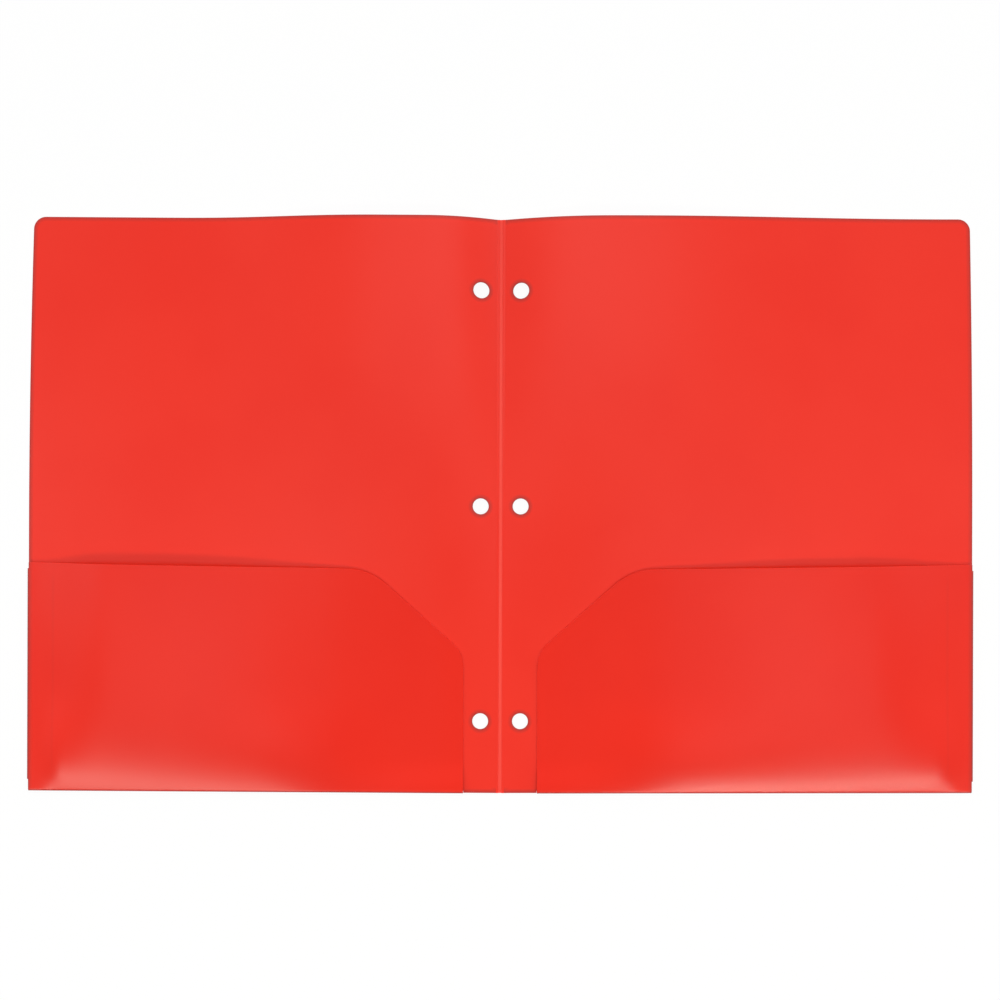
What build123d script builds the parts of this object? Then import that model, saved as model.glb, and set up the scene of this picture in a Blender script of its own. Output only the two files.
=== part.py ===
from build123d import *
import os

# A two pocket folder, open flat on a table: one plastic sheet, creased, folded and spot-welded.
# X runs across both covers, Y up the page and Z away from the table. All sizes are in millimetres.
# The origin lies under the middle of the spine, on the table.

# Sheet and covers
sheet = 0.45
cover_width = 237.0
cover_height = 288.0
corner_round = 6.0
foot_chamfer = 1.0

# Bow of each cover beside the spine: a slope up to a rounded ridge, highest at the head of the page
bow_height = 5.9
bow_ridge = 56.0
bow_slope_height = 4.6
bow_slope_end = 38.0
bow_end = 190.0
bow_setback = 9.5

# Spine: a strip between the covers with a coined groove down its middle
spine_width = 4.0
groove_width = 2.2
groove_floor_width = 1.2
groove_depth = 0.22

# Ring holes, the common three hole punching for letter paper
hole_diameter = 8.0
hole_spacing = 107.95
hole_setback = 10.0

# Pocket flap, seen from the front
pocket_height = 114.5
lip_fall = 2.0
pocket_inset = 18.5
cutaway_width = 47.0
cutaway_height = 42.0
cutaway_round = 15.0
lip_round = 31.0

# Pocket flap, seen from the mouth: how far its inner face stands off the cover
mouth_gap = 6.0
knee_gap = 3.8
knee_height = 20.0
inner_gap = 0.4

# Tab turned in behind the flap's outer edge, and the welds that hold it to the cover
tab_bend = 0.3
tab_width = 12.6
tab_foot = 6.0
tab_head = 3.0
tab_taper = 8.0
tab_corner_round = 2.0
weld_film = 0.15
weld_diameter = 4.0
weld_pitch = 16.0
weld_end_margin = 6.0

# Gaps between pieces that move apart, and the length by which a cut runs past its piece
flap_gap = 0.3
fold_relief = 0.5
overrun = 2.0

# Places worked out from the sizes above
tab_radius = tab_bend + sheet / 2
fold_radius = tab_radius + (sheet + weld_film) / 2
fold_outside = fold_radius + sheet / 2
tab_outside = tab_radius + sheet / 2
foot_y = -cover_height / 2
head_y = cover_height / 2
crease_y = foot_y + fold_outside
fold_axis_z = sheet / 2 + fold_radius
flap_edge_z = 2 * fold_radius
tab_crease_x = cover_width - tab_outside
flap_edge_x = tab_crease_x - flap_gap
lip_outer_y = foot_y + pocket_height
lip_inner_y = lip_outer_y - lip_fall
tab_low_y = foot_y + tab_foot
tab_high_y = lip_outer_y - tab_head
tab_z = sheet + weld_film
spine_x = spine_width / 2
bow_foot_y = lip_outer_y + bow_setback
bow_slope = bow_slope_height / (bow_slope_end - spine_x)


def face_of(*points):
    """A flat face inside a closed outline of straight lines."""
    return make_face(Polyline(*points, close=True))


def rounded(face, corner, radius):
    """The face with its outline rounded at the corner nearest to a point."""
    return fillet(face.vertices().sort_by_distance(corner)[0], radius)


def bow_share(y):
    """How much of the full bow a cover has at a place up the page."""
    return max(y - bow_foot_y, 0) / (head_y - bow_foot_y)


def cover_section(y):
    """A slice across the right cover: flat at its foot, and bowed more and more towards its head."""
    share = bow_share(y)
    inner_x, outer_x = spine_x - overrun, cover_width + overrun
    half_way = ((bow_ridge + bow_end) / 2, bow_height / 2)
    crest = [(bow_slope_end, bow_slope_height), (bow_ridge, bow_height), half_way, (bow_end, 0)]
    edges = []
    for rise in (0, sheet):
        inner = (inner_x, y, rise - overrun * bow_slope * share)
        outer = (outer_x, y, rise)
        path = [(x, y, z * share + rise) for x, z in crest]
        tangents = [(1, 0, bow_slope * share), (1, 0, 0)]
        bowed = Spline(*path, tangents=tangents) if share else Line(path[0], path[-1])
        edges.append([Line(inner, path[0]), bowed, Line(path[-1], outer)])
    lower, upper = edges
    ends = [Line(lower[-1] @ 1, upper[-1] @ 1), Line(upper[0] @ 0, lower[0] @ 0)]
    return make_face([*lower, ends[0], *reversed(upper), ends[1]])


def ring_hole(y):
    """A punch through the right cover, square to the slope of the sheet there."""
    run = hole_setback - spine_x
    slope_up = bow_slope * run / (head_y - bow_foot_y) if y > bow_foot_y else 0
    middle_z = sheet / 2 + bow_slope * run * bow_share(y)
    square = Plane((hole_setback, y, middle_z), z_dir=(-bow_slope * bow_share(y), -slope_up, 1))
    return square * Cylinder(hole_diameter / 2, sheet + 2 * overrun)


def cover():
    """The right cover on the table, bowed beside the spine, with its ring holes."""
    tongue_x = pocket_inset - fold_relief
    outline = face_of(
        (spine_x, foot_y),
        (tongue_x, foot_y),
        (tongue_x, crease_y),
        (cover_width - foot_chamfer, crease_y),
        (cover_width, crease_y + foot_chamfer),
        (cover_width, head_y),
        (spine_x, head_y),
    )
    outline = rounded(outline, (cover_width, head_y), corner_round)
    blank = extrude(Pos(0, 0, -overrun) * outline, bow_height + sheet + 2 * overrun)
    slices = [cover_section(y) for y in (foot_y - overrun, bow_foot_y, head_y + overrun)]
    panel = loft(slices, ruled=True) & blank
    for row in (-1, 0, 1):
        panel -= ring_hole(row * hole_spacing)
    return panel


def spine():
    """The strip between the covers, thinned by a groove in its inner face."""
    slope, floor = groove_width / 2, groove_floor_width / 2
    groove_z = sheet - groove_depth
    section = face_of(
        (-spine_x, 0),
        (spine_x, 0),
        (spine_x, sheet),
        (slope, sheet),
        (floor, groove_z),
        (-floor, groove_z),
        (-slope, sheet),
        (-spine_x, sheet),
    )
    start = Plane((0, head_y, 0), x_dir=(1, 0, 0), z_dir=(0, -1, 0))
    return extrude(start * section, cover_height)


def flap_section(y, inner_z, crown_z):
    """A slice across the flap: straight, or arched where the crown stands above its ends."""
    inner_x, outer_x = pocket_inset - overrun, flap_edge_x
    middle_x = (inner_x + outer_x) / 2
    edges = []
    for rise in (0, sheet):
        inner = (inner_x, y, inner_z + rise)
        outer = (outer_x, y, flap_edge_z + rise)
        crown = (middle_x, y, crown_z + rise)
        edges.append(ThreePointArc(inner, crown, outer) if crown_z else Line(inner, outer))
    lower, upper = edges
    return make_face([lower, Line(lower @ 1, upper @ 1), upper, Line(upper @ 0, lower @ 0)])


def cutaway():
    """What the die takes off the flap: all above its lip, and its inner corner."""
    outside_x, beyond_x = pocket_inset - 2 * overrun, cover_width + overrun
    below_y, above_y = foot_y - overrun, lip_outer_y + 2 * overrun
    low_corner = (pocket_inset, lip_inner_y - cutaway_height)
    high_corner = (pocket_inset + cutaway_width, lip_inner_y)
    waste = face_of(
        (pocket_inset, below_y),
        low_corner,
        high_corner,
        (flap_edge_x, lip_outer_y),
        (beyond_x, lip_outer_y),
        (beyond_x, above_y),
        (outside_x, above_y),
        (outside_x, below_y),
    )
    waste = rounded(waste, low_corner, cutaway_round)
    waste = rounded(waste, high_corner, lip_round)
    return extrude(waste, mouth_gap + 2 * sheet + overrun)


def pocket():
    """The right flap: flat at its bottom fold, crowned at its mouth and low at its inner edge."""
    mouth_y = lip_outer_y + overrun
    inner_z = sheet + inner_gap
    slices = [
        flap_section(crease_y + flap_gap, flap_edge_z, 0),
        flap_section(crease_y + knee_height, inner_z, sheet + knee_gap),
        flap_section(mouth_y, inner_z, sheet + mouth_gap),
    ]
    return loft(slices, ruled=True) - cutaway()


def half_tube(radius):
    """Half of a ring of sheet, bent to a radius at its middle, on the +X side."""
    ring = Circle(radius + sheet / 2) - Circle(radius - sheet / 2)
    side = 2 * (radius + sheet)
    return ring & Rectangle(side, side, align=(Align.MIN, Align.CENTER))


def pocket_fold():
    """The rounded fold along the bottom, from the cover up to the flap."""
    start = Plane((pocket_inset, crease_y, fold_axis_z), x_dir=(0, -1, 0), z_dir=(1, 0, 0))
    return extrude(start * half_tube(fold_radius), flap_edge_x - pocket_inset)


def tab_fold():
    """The rounded fold down the outer edge, from the flap to the tab behind it."""
    axis_z = tab_z + sheet / 2 + tab_radius
    start = Plane((tab_crease_x, tab_low_y, axis_z), x_dir=(1, 0, 0), z_dir=(0, 1, 0))
    return extrude(start * half_tube(tab_radius), tab_high_y - tab_low_y)


def tab():
    """The tab behind the flap, lying on the cover, tapered at both ends."""
    free_x = tab_crease_x - tab_width
    low_corner = (free_x, tab_low_y + tab_taper)
    high_corner = (free_x, tab_high_y - tab_taper)
    outline = face_of((tab_crease_x, tab_low_y), (tab_crease_x, tab_high_y), high_corner, low_corner)
    for corner in (low_corner, high_corner):
        outline = rounded(outline, corner, tab_corner_round)
    return extrude(Pos(0, 0, tab_z) * outline, sheet)


def welds():
    """Spot welds in a row, which fill the film of air between the tab and the cover."""
    row_x = tab_crease_x - tab_width / 2
    room = tab_high_y - tab_low_y - 2 * (tab_taper + weld_end_margin)
    spaces = max(int(room / weld_pitch), 1)
    first_y = (tab_low_y + tab_high_y - spaces * weld_pitch) / 2
    disc = extrude(Circle(weld_diameter / 2), weld_film)
    return Part() + [Pos(row_x, first_y + n * weld_pitch, sheet) * disc for n in range(spaces + 1)]


pieces = {
    "cover": cover(),
    "pocket": pocket(),
    "pocket_fold": pocket_fold(),
    "tab": tab(),
    "tab_fold": tab_fold(),
    "welds": welds(),
}

os.makedirs("parts", exist_ok=True)
export_step(spine(), "parts/spine_hinge.step")
for name, piece in pieces.items():
    export_step(piece, f"parts/right_{name}.step")
    export_step(mirror(piece, about=Plane.YZ), f"parts/left_{name}.step")
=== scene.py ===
"""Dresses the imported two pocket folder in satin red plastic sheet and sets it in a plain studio.

Sizes are in millimetres, as in the part's source; a mesh is turned to metres when it is made.
X runs across both covers, Y up the page and Z away from the table.
"""

from __future__ import annotations

import logging
import math
from dataclasses import dataclass, field, fields
from enum import Enum

import bpy
import numpy as np
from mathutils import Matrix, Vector
from mathutils.geometry import delaunay_2d_cdt


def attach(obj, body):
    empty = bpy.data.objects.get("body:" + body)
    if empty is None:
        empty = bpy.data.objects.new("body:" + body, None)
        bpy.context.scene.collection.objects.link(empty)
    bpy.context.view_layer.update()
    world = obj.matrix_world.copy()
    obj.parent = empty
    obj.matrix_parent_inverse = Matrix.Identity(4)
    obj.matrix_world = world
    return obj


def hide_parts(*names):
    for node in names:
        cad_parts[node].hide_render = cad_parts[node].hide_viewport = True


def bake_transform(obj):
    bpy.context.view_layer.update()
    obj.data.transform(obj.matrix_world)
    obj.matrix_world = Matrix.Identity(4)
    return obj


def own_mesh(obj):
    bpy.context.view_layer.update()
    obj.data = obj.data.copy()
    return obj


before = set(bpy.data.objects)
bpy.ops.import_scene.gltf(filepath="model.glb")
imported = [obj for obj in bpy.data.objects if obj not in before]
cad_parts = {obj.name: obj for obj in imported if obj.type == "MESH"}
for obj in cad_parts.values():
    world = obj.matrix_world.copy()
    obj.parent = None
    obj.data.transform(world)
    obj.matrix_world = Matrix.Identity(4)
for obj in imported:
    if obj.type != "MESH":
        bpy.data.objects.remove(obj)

LOG = logging.getLogger("two_pocket_folder")

MM = 0.001
TINY = 1e-12
TOUCHING = 1e-3
SHARP_TURN = math.radians(35)

Colour = tuple[float, float, float]
Span = tuple[float, float]
Face = tuple[int, ...]
Value = bpy.types.NodeSocket | float | int

WHITE: Colour = (1.0, 1.0, 1.0)
WARM: Colour = (1.0, 0.96, 0.84)
GEOMETRY = {"Geometry": "NodeSocketGeometry"}


class Side(Enum):
    """The two halves of the folder, by the sign of their X."""

    LEFT = -1
    RIGHT = 1

    @property
    def word(self) -> str:
        """The side as it stands in the names of nodes and bodies."""
        return self.name.lower()

    @property
    def cover_body(self) -> str:
        """The body of this side's cover."""
        return f"{self.word}_cover"

    @property
    def pocket_body(self) -> str:
        """The body of this side's pocket flap."""
        return f"{self.word}_pocket"


class TreeKind(Enum):
    """The two kinds of node tree that this script builds."""

    GEOMETRY = "GeometryNodeTree"
    SHADER = "ShaderNodeTree"


class Course(Enum):
    """How a step between two values runs."""

    STRAIGHT = "LINEAR"
    SMOOTH = "SMOOTHERSTEP"


# Sheets and meshes


def linked(name: str, data: bpy.types.ID) -> bpy.types.Object:
    """Puts a mesh, lamp or camera into the scene.

    Args:
        name: Name of the object.
        data: What it shows.

    Returns:
        The new object, at the origin.
    """
    made = bpy.data.objects.new(name, data)
    bpy.context.scene.collection.objects.link(made)
    return made


@dataclass
class Surface:
    """A mesh in the making.

    Attributes:
        points: Places of the points, one row each.
        faces: Point numbers of each face, counter-clockwise seen from outside.
        marks: Named numbers, one for each point, that the finishes read.
        joined: True for a point where the sheet runs on into another piece.
    """

    points: np.ndarray
    faces: list[Face]
    marks: dict[str, np.ndarray]
    joined: np.ndarray

    def normals(self) -> np.ndarray:
        """The normal at each point, from the faces around it.

        Returns:
            One row for each point, of length one.
        """
        total = np.zeros_like(self.points)
        for face in self.faces:
            corners = self.points[list(face)]
            fan = np.cross(corners[1:-1] - corners[0], corners[2:] - corners[0]).sum(0)
            total[list(face)] += fan
        length = np.linalg.norm(total, axis=1, keepdims=True)
        return total / np.maximum(length, TINY)

    def rim(self) -> list[tuple[int, int]]:
        """The edges with a face on one side only, with that face on their left."""
        edges = {(a, b) for f in self.faces for a, b in zip(f, f[1:] + f[:1])}
        return sorted(e for e in edges if (e[1], e[0]) not in edges)

    def mirrored(self) -> Surface:
        """The same surface on the other side of the spine.

        Returns:
            A new surface, whose faces still look outwards.
        """
        flip = np.array([-1.0, 1.0, 1.0])
        turned = [tuple(reversed(f)) for f in self.faces]
        return Surface(self.points * flip, turned, self.marks, self.joined)

    def thickened(self, thickness: float, chamfer: float) -> Surface:
        """Gives the surface its thickness, half to each side, and breaks its cut edges.

        Args:
            thickness: How thick the sheet is.
            chamfer: Size of the broken edge, left out where the sheet is joined.

        Returns:
            A closed surface.
        """
        normals, rim, half = self.normals(), self.rim(), thickness / 2
        outward = np.zeros_like(self.points)
        for a, b in rim:
            out = np.cross(self.points[b] - self.points[a], normals[a] + normals[b])
            out /= max(np.linalg.norm(out), TINY)
            outward[[a, b]] += out
        length = np.linalg.norm(outward, axis=1, keepdims=True)
        inset = outward / np.maximum(length, TINY) * chamfer * ~self.joined[:, None]
        ring = sorted({p for edge in rim for p in edge})
        count = len(self.points)
        place = {p: 2 * count + n for n, p in enumerate(ring)}
        low = half - chamfer
        layers = [
            self.points + normals * half - inset,
            self.points - normals * half - inset,
            self.points[ring] + normals[ring] * low,
            self.points[ring] - normals[ring] * low,
        ]
        faces = list(self.faces)
        faces += [tuple(p + count for p in reversed(f)) for f in self.faces]
        for a, b in rim:
            steps_a = [a, place[a], place[a] + len(ring), a + count]
            steps_b = [b, place[b], place[b] + len(ring), b + count]
            for n in range(3):
                faces.append((steps_a[n], steps_a[n + 1], steps_b[n + 1], steps_b[n]))
        order = list(range(count)) * 2 + ring * 2
        marks = {name: values[order] for name, values in self.marks.items()}
        return Surface(np.vstack(layers), faces, marks, self.joined[order])

    def piece(self, name: str, material: bpy.types.Material) -> bpy.types.Object:
        """Makes the surface an object at the origin.

        Args:
            name: Name of the piece.
            material: Its finish.

        Returns:
            The new object.
        """
        mesh = bpy.data.meshes.new(name)
        mesh.from_pydata((self.points * MM).tolist(), [], self.faces)
        for mark, values in self.marks.items():
            layer = mesh.attributes.new(mark, "FLOAT", "POINT")
            layer.data.foreach_set("value", values.astype(np.float32))
        mesh.shade_smooth()
        mesh.set_sharp_from_angle(angle=SHARP_TURN)
        mesh.materials.append(material)
        return linked(name, mesh)


def grid_faces(rows: int, columns: int) -> list[Face]:
    """The quads of a grid of points that are numbered row by row.

    Args:
        rows: Number of rows of points.
        columns: Number of points in a row.

    Returns:
        Point numbers of each quad.
    """
    corners = (0, 1, columns + 1, columns)
    starts = [r * columns + c for r in range(rows - 1) for c in range(columns - 1)]
    return [tuple(s + c for c in corners) for s in starts]


def rounded_path(corners: list[tuple[float, float, float]], steps: int = 14) -> np.ndarray:
    """A path of straight runs with rounded corners.

    Args:
        corners: Place of each corner and its radius, nought for a sharp one.
        steps: Number of pieces that each rounding has.

    Returns:
        The path's points, one row each.
    """
    path: list[np.ndarray] = []
    for n, (x, y, radius) in enumerate(corners):
        here = np.array([x, y])
        if not radius:
            path.append(here)
            continue
        back = np.array(corners[n - 1][:2]) - here
        ahead = np.array(corners[(n + 1) % len(corners)][:2]) - here
        back, ahead = back / np.linalg.norm(back), ahead / np.linalg.norm(ahead)
        half = math.acos(float(np.clip(back @ ahead, -1, 1))) / 2
        middle = (back + ahead) / np.linalg.norm(back + ahead)
        centre = here + middle * radius / math.sin(half)
        start = here + back * radius / math.tan(half) - centre
        end = here + ahead * radius / math.tan(half) - centre
        sweep = math.pi - 2 * half
        for step in range(steps + 1):
            share = step / steps
            weights = math.sin((1 - share) * sweep), math.sin(share * sweep)
            path.append(centre + (start * weights[0] + end * weights[1]) / math.sin(sweep))
    return np.array(path)


def divided(path: np.ndarray, spacing: float) -> np.ndarray:
    """A path with points added, so that none lie further apart than a spacing.

    Args:
        path: The path's points.
        spacing: The widest step.

    Returns:
        The points of the divided path.
    """
    made = []
    for a, b in zip(path[:-1], path[1:]):
        count = max(math.ceil(np.linalg.norm(b - a) / spacing), 1)
        made += [a + (b - a) * n / count for n in range(count)]
    return np.array([*made, path[-1]])


def distance_to(points: np.ndarray, path: np.ndarray) -> np.ndarray:
    """How far each point of a plane lies from a path.

    Args:
        points: The points, one row each.
        path: The path's points.

    Returns:
        The distances.
    """
    best = np.full(len(points), np.inf)
    for a, b in zip(path[:-1], path[1:]):
        run = b - a
        share = np.clip((points - a) @ run / max(run @ run, TINY), 0, 1)
        gap = np.linalg.norm(points - a - share[:, None] * run, axis=1)
        best = np.minimum(best, gap)
    return best


def share_between(values: np.ndarray, start: float, end: float) -> np.ndarray:
    """How far each value has come from a start to an end, from nought to one."""
    return np.clip((values - start) / (end - start), 0, 1)


def smoothed(share: np.ndarray) -> np.ndarray:
    """An even climb from nought to one, made to start and stop gently."""
    return share * share * (3 - 2 * share)


def inside(points: np.ndarray, loop: np.ndarray) -> np.ndarray:
    """Which points of a plane lie inside a closed loop.

    Args:
        points: The points, one row each.
        loop: The loop's points, without the first one again at its end.

    Returns:
        True for each point inside.
    """
    odd = np.zeros(len(points), bool)
    x, y = points.T
    for (ax, ay), (bx, by) in zip(loop, np.roll(loop, -1, axis=0)):
        if ay == by:
            continue
        crosses = (ay > y) != (by > y)
        odd ^= crosses & (x < (bx - ax) * (y - ay) / (by - ay) + ax)
    return odd


# Node trees


class Wiring:
    """Places nodes in one tree and joins them."""

    def __init__(self, tree: bpy.types.NodeTree) -> None:
        """Takes the tree that is to be filled."""
        self.tree = tree

    @classmethod
    def group(cls, name: str, kind: TreeKind, inputs: dict[str, object],
              outputs: dict[str, str]) -> tuple[Wiring, bpy.types.Node, bpy.types.Node]:
        """Makes a node group with named sockets.

        Args:
            name: Name of the group.
            kind: Geometry or shader.
            inputs: Name of each input, with its number, its colour or its socket type.
            outputs: Name of each output, with its socket type.

        Returns:
            The group's wiring, and its input and output nodes.
        """
        tree = bpy.data.node_groups.new(name, kind.value)
        for label, start in inputs.items():
            if isinstance(start, str):
                tree.interface.new_socket(label, in_out="INPUT", socket_type=start)
                continue
            types = {int: "NodeSocketInt", float: "NodeSocketFloat", tuple: "NodeSocketColor"}
            socket_type = types[type(start)]
            socket = tree.interface.new_socket(label, in_out="INPUT", socket_type=socket_type)
            socket.default_value = start
        for label, socket_type in outputs.items():
            tree.interface.new_socket(label, in_out="OUTPUT", socket_type=socket_type)
        made = cls(tree)
        return made, made.add("NodeGroupInput"), made.add("NodeGroupOutput")

    def add(self, kind: str, feeds: dict[str | int, object] | None = None,
            **settings: object) -> bpy.types.Node:
        """Adds a node.

        Args:
            kind: Its type.
            feeds: Value or socket for some of its inputs, by their names or numbers.
            settings: Its properties.

        Returns:
            The new node.
        """
        node = self.tree.nodes.new(kind)
        for name, value in settings.items():
            setattr(node, name, value)
        for name, value in (feeds or {}).items():
            self.feed(node.inputs[name], value)
        return node

    def feed(self, socket: bpy.types.NodeSocket, value: object) -> None:
        """Joins a socket to another one, or sets its value.

        Args:
            socket: An input.
            value: The output that drives it, or its number, colour or name.
        """
        if isinstance(value, bpy.types.NodeSocket):
            self.tree.links.new(value, socket)
        else:
            socket.default_value = value

    def place(self, tree: bpy.types.NodeTree, feeds: dict[str, object]) -> bpy.types.Node:
        """Places a group in this tree.

        Args:
            tree: The group.
            feeds: Value or socket for its inputs, by their names.

        Returns:
            The group's node.
        """
        node = self.add(tree.bl_idname.replace("Tree", "Group"), node_tree=tree)
        for name, value in feeds.items():
            self.feed(node.inputs[name], value)
        return node

    def axes(self, vector: bpy.types.NodeSocket) -> list[bpy.types.NodeSocket]:
        """The X, Y and Z of a vector."""
        return list(self.add("ShaderNodeSeparateXYZ", {0: vector}).outputs)

    def vector(self, x: Value = 0.0, y: Value = 0.0, z: Value = 0.0) -> bpy.types.NodeSocket:
        """A vector from its X, Y and Z."""
        return self.add("ShaderNodeCombineXYZ", {0: x, 1: y, 2: z}).outputs[0]

    def sum(self, operation: str, *values: Value) -> bpy.types.NodeSocket:
        """Works out a sum.

        Args:
            operation: The Math node's operation.
            values: What it works on.

        Returns:
            The socket with the result.
        """
        node = self.add("ShaderNodeMath", operation=operation)
        for socket, value in zip(node.inputs, values):
            self.feed(socket, value)
        return node.outputs[0]

    def product(self, first: Value, *others: Value) -> bpy.types.NodeSocket:
        """Multiplies several values.

        Args:
            first: One of them.
            others: The rest.

        Returns:
            The socket with the result.
        """
        for other in others:
            first = self.sum("MULTIPLY", first, other)
        return first

    def ramp(self, value: Value, start: Value, end: Value, low: Value = 0.0, high: Value = 1.0,
             course: Course = Course.SMOOTH) -> bpy.types.NodeSocket:
        """A step from low to high.

        Args:
            value: The number that drives the step.
            start: Where the step begins.
            end: Where it is complete.
            low: The result before the step.
            high: The result after it.
            course: How the step runs.

        Returns:
            The socket with the result.
        """
        node = self.add("ShaderNodeMapRange", interpolation_type=course.value)
        for socket, number in zip(node.inputs, (value, start, end, low, high)):
            self.feed(socket, number)
        return node.outputs[0]

    def noise(self, vector: bpy.types.NodeSocket, scale: Value, detail: Value) -> bpy.types.NodeSocket:
        """A soft noise from nought to one.

        Args:
            vector: The place that it is read at.
            scale: How fine it is.
            detail: How many finer layers it has.

        Returns:
            The socket with the noise.
        """
        feeds = {"Vector": vector, "Scale": scale, "Detail": detail}
        return self.add("ShaderNodeTexNoise", feeds).outputs[0]

    def mix(self, share: Value, first: object, second: object) -> bpy.types.NodeSocket:
        """Two colours mixed.

        Args:
            share: How much of the second colour there is.
            first: A colour or its socket.
            second: A colour or its socket.

        Returns:
            The socket with the mixed colour.
        """
        node = self.add("ShaderNodeMix", data_type="RGBA")
        colours = [s for s in node.inputs if s.type == "RGBA"]
        self.feed(node.inputs[0], share)
        self.feed(colours[0], first)
        self.feed(colours[1], second)
        return next(s for s in node.outputs if s.type == "RGBA")


def rgba(colour: Colour) -> tuple[float, float, float, float]:
    """A colour with full alpha."""
    return (*colour, 1.0)


def shape_by_rule(piece: bpy.types.Object, tree: bpy.types.NodeTree,
                  sizes: dict[str, object]) -> bpy.types.Object:
    """Runs a Geometry Nodes rule on a piece and keeps the result as its plain mesh.

    Args:
        piece: The object to shape.
        tree: The rule.
        sizes: Value of each of the rule's named inputs, lengths in metres.

    Returns:
        The same object, with no modifier left on it.
    """
    modifier = piece.modifiers.new(tree.name, "NODES")
    modifier.node_group = tree
    for item in tree.interface.items_tree:
        if item.item_type == "SOCKET" and item.in_out == "INPUT" and item.name in sizes:
            modifier[item.identifier] = sizes[item.name]
    piece.update_tag()
    graph = bpy.context.evaluated_depsgraph_get()
    flat = piece.data
    shaped = bpy.data.meshes.new_from_object(
        piece.evaluated_get(graph), preserve_all_data_layers=True, depsgraph=graph
    )
    piece.modifiers.remove(modifier)
    piece.data = shaped
    bpy.data.meshes.remove(flat)
    shaped.name = piece.name
    return piece


# How the sheet bends


class RuleSizes:
    """Sizes that a rule takes as its named inputs.

    A size whose name ends in share is a plain number, and every other one is a length.
    """

    def inputs(self) -> dict[str, object]:
        """The rule's named inputs, lengths in metres.

        Returns:
            The number for each input. A pair of places has an input for its start and one for its end.
        """
        made: dict[str, object] = {}
        for size in fields(self):
            label, value = size.name.replace("_", " ").title(), getattr(self, size.name)
            if isinstance(value, tuple):
                made |= {f"{label} {end}": place * MM for end, place in zip(("Start", "End"), value)}
            else:
                made[label] = value if size.name.endswith("share") else value * MM
        return made


@dataclass(frozen=True)
class CoverBow(RuleSizes):
    """The bow of a cover beside its spine, which is highest at the head and dies out behind the pocket.

    Attributes:
        bow_height: Rise of the ridge at the head.
        rise: Distances from the spine between which the sheet climbs to the ridge.
        fall: Distances from the spine between which it comes down again.
        fade: Places up the page between which the bow grows.
        pull_in: How far the bow draws the outer edge in at the head.
        pull: Places up the page between which it does so.
        swing_share: Slope of the covers' edges, which lean up the page away from the spine.
        cover_width: Distance from the spine to the outer edge.
    """

    bow_height: float = 7.4
    rise: Span = (2.0, 46.0)
    fall: Span = (48.0, 215.0)
    fade: Span = (-140.0, 144.5)
    pull_in: float = 2.4
    pull: Span = (-10.0, 144.0)
    swing_share: float = 0.0039
    cover_width: float = 237.0


def bow_group() -> bpy.types.NodeTree:
    """Builds the rule that bows a sheet beside the spine.

    Returns:
        A geometry node group that moves the points of what it is given.
    """
    inputs = {**GEOMETRY, **CoverBow().inputs()}
    wire, given, result = Wiring.group("bow_beside_spine", TreeKind.GEOMETRY, inputs, GEOMETRY)
    size = given.outputs
    x, y, _ = wire.axes(wire.add("GeometryNodeInputPosition").outputs[0])
    reach = wire.sum("ABSOLUTE", x)
    short = wire.ramp(reach, size["Rise Start"], size["Rise End"], 1.0, 0.0, Course.STRAIGHT)
    rise = wire.sum("SUBTRACT", 1.0, wire.product(short, short))
    fall = wire.ramp(reach, size["Fall Start"], size["Fall End"], 1.0, 0.0)
    fade = wire.ramp(y, size["Fade Start"], size["Fade End"])
    share = wire.sum("DIVIDE", x, size["Cover Width"])
    pull = wire.ramp(y, size["Pull Start"], size["Pull End"], course=Course.STRAIGHT)
    offset = wire.vector(
        wire.product(share, pull, pull, size["Pull In"], -1.0),
        wire.product(reach, size["Swing Share"]),
        wire.product(size["Bow Height"], rise, fall, fade),
    )
    moved = wire.add("GeometryNodeSetPosition", {"Geometry": size["Geometry"], "Offset": offset})
    wire.feed(result.inputs["Geometry"], moved.outputs[0])
    return wire.tree


def finish_tree(wire: Wiring, bow: bpy.types.NodeTree, geometry: bpy.types.NodeSocket,
                size: bpy.types.NodeOutputs, result: bpy.types.Node) -> None:
    """Ends a geometry tree: bows what it has made, and gives it a real mesh and its material.

    Args:
        wire: The tree's wiring.
        bow: The group that bows a sheet.
        geometry: What the tree has made.
        size: The tree's named inputs.
        result: The tree's output node.
    """
    sizes = {label: size[label] for label in CoverBow().inputs()}
    bowed = wire.place(bow, {"Geometry": geometry, **sizes})
    real = wire.add("GeometryNodeRealizeInstances", {"Geometry": bowed.outputs[0]})
    dressed = wire.add(
        "GeometryNodeSetMaterial", {"Geometry": real.outputs[0], "Material": size["Finish"]}
    )
    wire.feed(result.inputs["Geometry"], dressed.outputs[0])


def cover_rule(bow: bpy.types.NodeTree) -> bpy.types.NodeTree:
    """Builds the rule for a whole cover.

    Args:
        bow: The group that bows a sheet.

    Returns:
        A tree for a modifier.
    """
    inputs = {**GEOMETRY, **CoverBow().inputs(), "Finish": "NodeSocketMaterial"}
    wire, given, result = Wiring.group("bowed_cover", TreeKind.GEOMETRY, inputs, GEOMETRY)
    finish_tree(wire, bow, given.outputs["Geometry"], given.outputs, result)
    return wire.tree


RING_POINTS = 48
BEAD_POINTS = 10


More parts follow.
